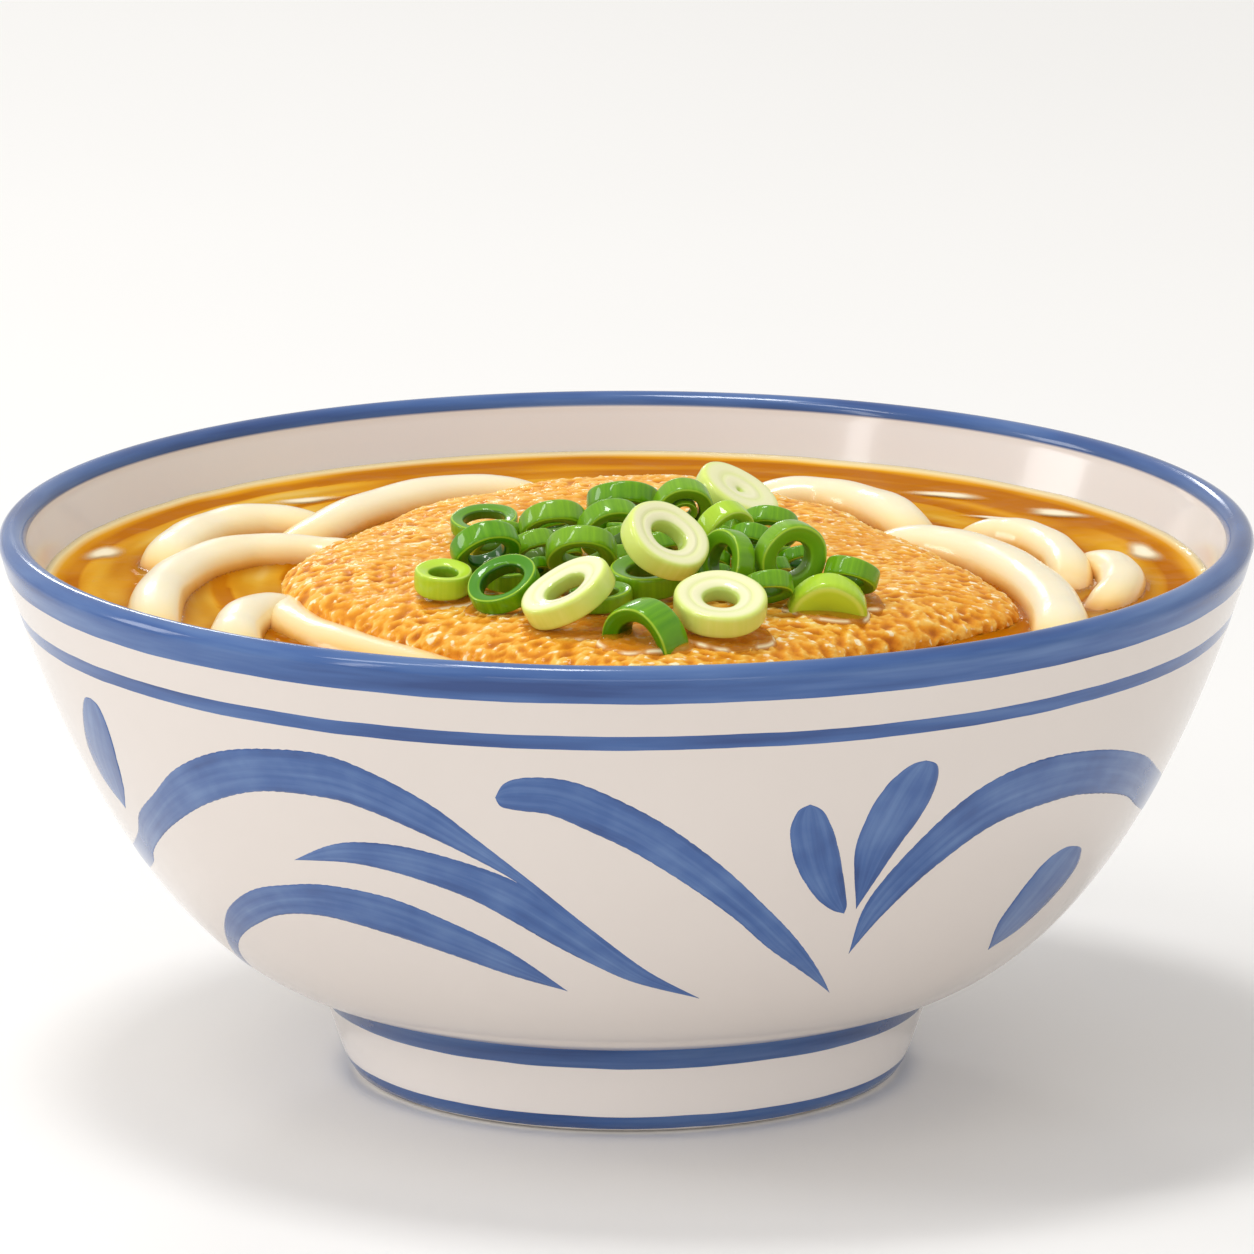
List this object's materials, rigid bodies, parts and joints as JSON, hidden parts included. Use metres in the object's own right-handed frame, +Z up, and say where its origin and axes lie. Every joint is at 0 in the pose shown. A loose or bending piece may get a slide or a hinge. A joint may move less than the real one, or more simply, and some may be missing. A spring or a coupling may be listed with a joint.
{
  "type": "bowl of udon noodle soup",
  "caption": "Round footed bowl of noodle soup: thick wheat noodles in clear amber broth, a sheet of fried tofu, sliced spring onion; white glaze with blue brush strokes.",
  "frame": {"origin": "middle of the bowl's foot, on the plane it stands on", "axes": "+Z up along the bowl's own axis; -Y is the side towards the diner; +X to the diner's right"},
  "size_m": [0.1992, 0.1992, 0.1013],
  "materials": {
    "bowl_glaze": "glossy white glaze with hand-painted blue bands and brush strokes",
    "dashi_broth": "clear amber liquid",
    "udon_noodle": "wet, smooth, slightly translucent",
    "fried_tofu": "wrinkled golden skin, wet with broth",
    "onion_white": "moist, creamy white",
    "onion_pale": "moist, pale yellow-green",
    "onion_green": "moist, fresh green skin with paler cut faces"
  },
  "bodies": {
    "root": {"bowl": "bowl_glaze", "broth": "dashi_broth", "fried_tofu": "fried_tofu", "noodles": "udon_noodle", "onion_green_01": "onion_green", "onion_green_02": "onion_green", "onion_green_03": "onion_green", "onion_green_04": "onion_green", "onion_green_05": "onion_green", "onion_green_06": "onion_green", "onion_green_07": "onion_green", "onion_green_08": "onion_green", "onion_green_09": "onion_green", "onion_green_10": "onion_green", "onion_green_11": "onion_green", "onion_green_12": "onion_green", "onion_green_13": "onion_green", "onion_green_14": "onion_green", "onion_green_15": "onion_green", "onion_green_16": "onion_green", "onion_green_17": "onion_green", "onion_green_18": "onion_green", "onion_green_split": "onion_green", "onion_pale_01": "onion_pale", "onion_pale_02": "onion_pale", "onion_pale_arch": "onion_pale", "onion_white_01": "onion_white", "onion_white_02": "onion_white", "onion_white_03": "onion_white", "onion_white_04": "onion_white"}
  },
  "joints": []
}
